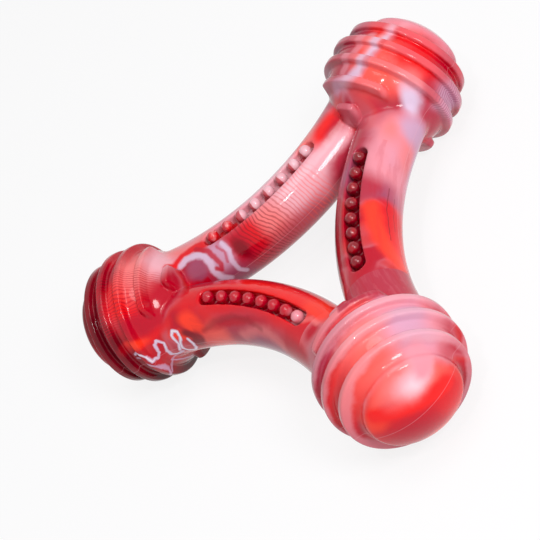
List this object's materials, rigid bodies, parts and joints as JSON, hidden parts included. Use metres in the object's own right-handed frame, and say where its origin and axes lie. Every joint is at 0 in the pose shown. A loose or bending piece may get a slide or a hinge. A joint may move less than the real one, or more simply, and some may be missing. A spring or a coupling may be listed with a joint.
{
  "type": "dog chew toy",
  "caption": "Triangular dog chew toy: ribbed ball knobs at the corners, joined by round arms that bow inwards and carry rows of nubs in slots.",
  "frame": {"origin": "middle of the toy: where its three-fold axis crosses its mid-plane", "axes": "the toy lies flat, with its triangle in the XY plane; +Z is the front face's normal, +Y points to the top knob and +X from the left knob to the right one"},
  "size_m": [0.1498, 0.1363, 0.044],
  "materials": {
    "knob_nylon": "glossy marbled nylon, red, coral, pink and white",
    "arm_nylon": "glossy marbled nylon, crimson, orange-red and pink",
    "nub_nylon": "glossy nylon, deep red"
  },
  "bodies": {
    "root": {"knob_top": "knob_nylon", "knob_left": "knob_nylon", "knob_right": "knob_nylon", "arm_right": "arm_nylon", "arm_left": "arm_nylon", "arm_bottom": "arm_nylon", "nubs_right_front": "nub_nylon", "nubs_right_back": "nub_nylon", "nubs_left_front": "nub_nylon", "nubs_left_back": "nub_nylon", "nubs_bottom_front": "nub_nylon", "nubs_bottom_back": "nub_nylon"}
  },
  "joints": []
}
